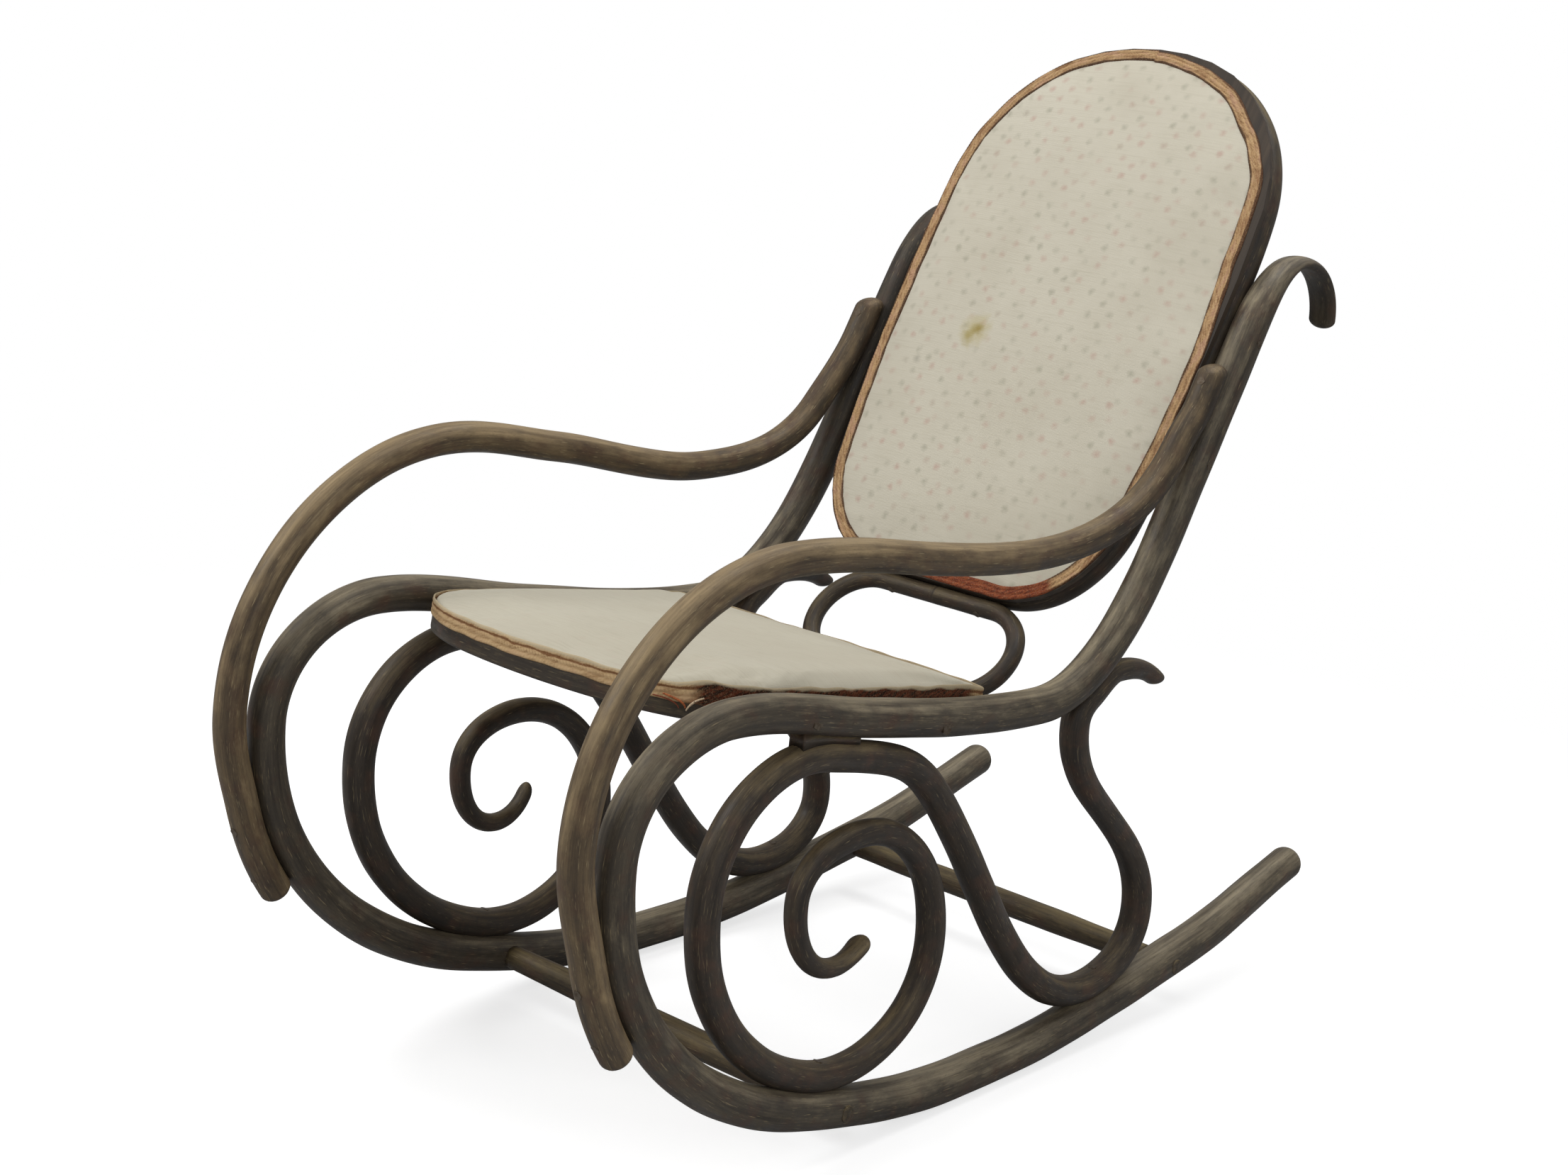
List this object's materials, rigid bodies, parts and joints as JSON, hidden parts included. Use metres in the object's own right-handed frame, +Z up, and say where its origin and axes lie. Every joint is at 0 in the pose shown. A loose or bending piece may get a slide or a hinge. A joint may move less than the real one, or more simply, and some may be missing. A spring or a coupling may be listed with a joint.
{
  "type": "bentwood rocking chair",
  "caption": "Bentwood rocking chair with scrolled side frames, curved arms, a padded oval back and a padded seat",
  "frame": {"origin": "on the floor under the middle of the chair's bounding box", "axes": "+Z up, -Y the way the sitter faces, +X the sitter's left"},
  "size_m": [0.4706, 1.1618, 0.9783],
  "materials": {
    "bentwood": "satin",
    "upholstery": "matte",
    "braid": "matte",
    "plywood": "matte",
    "steel": "satin"
  },
  "bodies": {
    "root": {"arm_left": "bentwood", "arm_right": "bentwood", "arm_screw_lower_left": "steel", "arm_screw_lower_right": "steel", "arm_screw_post_left": "steel", "arm_screw_post_right": "steel", "arm_screw_upper_left": "steel", "arm_screw_upper_right": "steel", "back_board": "plywood", "back_braid": "braid", "back_pad": "upholstery", "back_ring": "bentwood", "front_stretcher": "bentwood", "loop_screw_left": "steel", "loop_screw_right": "steel", "lower_loop": "bentwood", "rear_stretcher": "bentwood", "ring_screw_lower_left": "steel", "ring_screw_lower_right": "steel", "ring_screw_upper_left": "steel", "ring_screw_upper_right": "steel", "scroll_left": "bentwood", "scroll_packer_left": "bentwood", "scroll_packer_right": "bentwood", "scroll_right": "bentwood", "scroll_screw_heel_left": "steel", "scroll_screw_heel_right": "steel", "scroll_screw_post_left": "steel", "scroll_screw_post_right": "steel", "scroll_screw_seat_left": "steel", "scroll_screw_seat_right": "steel", "scroll_screw_toe_left": "steel", "scroll_screw_toe_right": "steel", "seat_bolt_front_left": "steel", "seat_bolt_front_right": "steel", "seat_bolt_rear_left": "steel", "seat_bolt_rear_right": "steel", "seat_braid": "braid", "seat_hoop": "bentwood", "seat_pad": "upholstery", "seat_panel": "plywood", "side_rail_left": "bentwood", "side_rail_right": "bentwood"}
  },
  "joints": []
}
